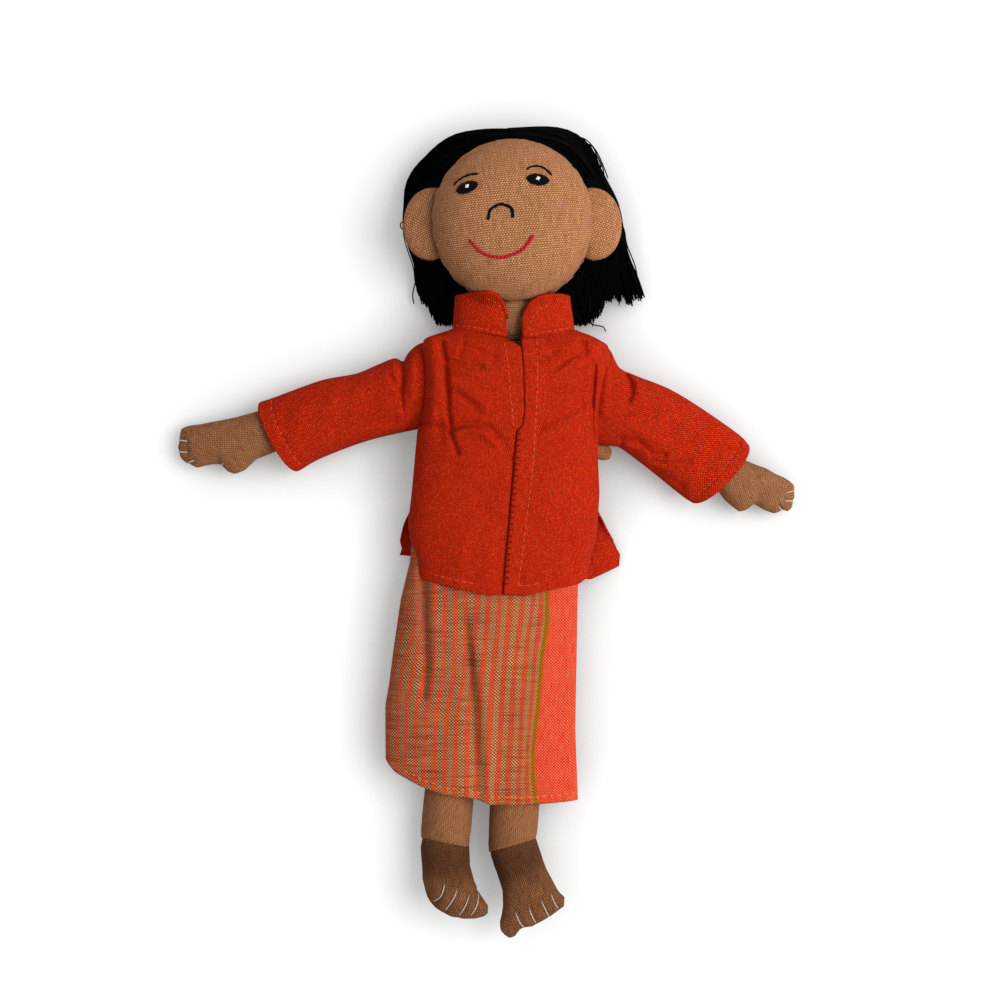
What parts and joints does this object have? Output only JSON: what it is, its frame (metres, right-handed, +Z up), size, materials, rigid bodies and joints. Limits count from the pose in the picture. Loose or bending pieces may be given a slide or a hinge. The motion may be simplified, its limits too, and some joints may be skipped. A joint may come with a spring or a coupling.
{
  "type": "cloth doll",
  "caption": "Stuffed cloth doll with thread hair, embroidered face, long-sleeved shirt and wrap skirt; soft joints at neck, shoulders, hips and ankles.",
  "frame": {"origin": "centre of the bounding box, on the surface that the doll lies on", "axes": "+X to the doll's own left, +Y towards its head, +Z up out of its front"},
  "size_m": [0.2352, 0.2998, 0.049],
  "materials": {
    "skin": "coarse plain weave cotton",
    "stuffing": "loose fibre filling",
    "hair": "black thread strands",
    "black_thread": "embroidery thread",
    "white_thread": "sewing thread",
    "red_thread": "embroidery thread",
    "shirt": "fine plain weave cotton",
    "skirt": "handwoven striped cotton"
  },
  "bodies": {
    "torso": {"torso_skin": "skin", "torso_stuffing": "stuffing", "shirt_front_left": "shirt", "shirt_front_right": "shirt", "shirt_back": "shirt", "shirt_placket": "shirt", "shirt_collar": "shirt", "skirt_waistband": "skirt"},
    "neck": {"neck_stuffing": "stuffing"},
    "head": {"neck_skin": "skin", "head_face": "skin", "head_back": "skin", "head_stuffing": "stuffing", "ear_left": "skin", "ear_right": "skin", "hair_crown": "hair", "hair_left": "hair", "hair_right": "hair", "hair_nape": "hair", "eye_left": "black_thread", "eye_right": "black_thread", "glint_left": "white_thread", "glint_right": "white_thread", "brow_left": "black_thread", "brow_right": "black_thread", "nose_stitch": "black_thread", "mouth_stitch": "red_thread"},
    "arm_left": {"arm_left_skin": "skin", "arm_left_stuffing": "stuffing", "sleeve_left": "shirt", "finger_stitch_left_1": "white_thread", "finger_stitch_left_2": "white_thread", "finger_stitch_left_3": "white_thread"},
    "arm_right": {"arm_right_skin": "skin", "arm_right_stuffing": "stuffing", "sleeve_right": "shirt", "finger_stitch_right_1": "white_thread", "finger_stitch_right_2": "white_thread", "finger_stitch_right_3": "white_thread", "thumb_stitch_right": "white_thread"},
    "lap": {"skirt": "skirt"},
    "leg_left": {"leg_left_skin": "skin", "leg_left_stuffing": "stuffing"},
    "leg_right": {"leg_right_skin": "skin", "leg_right_stuffing": "stuffing"},
    "foot_left": {"foot_left_skin": "skin", "foot_left_stuffing": "stuffing", "toe_stitch_left_1": "white_thread", "toe_stitch_left_2": "white_thread", "toe_stitch_left_3": "white_thread", "toe_stitch_left_4": "white_thread"},
    "foot_right": {"foot_right_skin": "skin", "foot_right_stuffing": "stuffing", "toe_stitch_right_1": "white_thread", "toe_stitch_right_2": "white_thread", "toe_stitch_right_3": "white_thread", "toe_stitch_right_4": "white_thread"}
  },
  "joints": [
    {"name": "neck_nod", "type": "hinge", "parent": "torso", "child": "neck", "pos_m": [0.0108, 0.0776, 0.017], "axis": [1, 0, 0], "range_deg": [0, 30], "deforming": ["shirt_collar", "hair_left", "hair_right", "hair_nape"]},
    {"name": "head_tilt", "type": "hinge", "parent": "neck", "child": "head", "pos_m": [0.0108, 0.0776, 0.017], "axis": [0, 0, 1], "range_deg": [-15, 15], "deforming": ["shirt_collar", "hair_left", "hair_right", "hair_nape"]},
    {"name": "shoulder_left", "type": "hinge", "parent": "torso", "child": "arm_left", "pos_m": [0.04539, 0.054, 0.0125], "axis": [0, 0, 1], "range_deg": [-35, 50], "deforming": ["sleeve_left"]},
    {"name": "shoulder_right", "type": "hinge", "parent": "torso", "child": "arm_right", "pos_m": [-0.02661, 0.054, 0.0125], "axis": [0, 0, -1], "range_deg": [-50, 38], "deforming": ["sleeve_right"]},
    {"name": "hips_fold", "type": "hinge", "parent": "torso", "child": "lap", "pos_m": [0.004, -0.0363, 0.0106], "axis": [-1, 0, 0], "range_deg": [0, 85], "deforming": ["skirt"]},
    {"name": "leg_left_spread", "type": "hinge", "parent": "lap", "child": "leg_left", "pos_m": [0.0165, -0.0363, 0.0106], "axis": [0, 0, 1], "range_deg": [0, 6]},
    {"name": "leg_right_spread", "type": "hinge", "parent": "lap", "child": "leg_right", "pos_m": [-0.0085, -0.0363, 0.0106], "axis": [0, 0, -1], "range_deg": [0, 6]},
    {"name": "ankle_left", "type": "hinge", "parent": "leg_left", "child": "foot_left", "pos_m": [0.0098, -0.1142, 0.0106], "axis": [-1, 0, 0], "range_deg": [-22, 22]},
    {"name": "ankle_right", "type": "hinge", "parent": "leg_right", "child": "foot_right", "pos_m": [-0.0153, -0.1136, 0.0106], "axis": [-1, 0, 0], "range_deg": [-22, 22]}
  ]
}
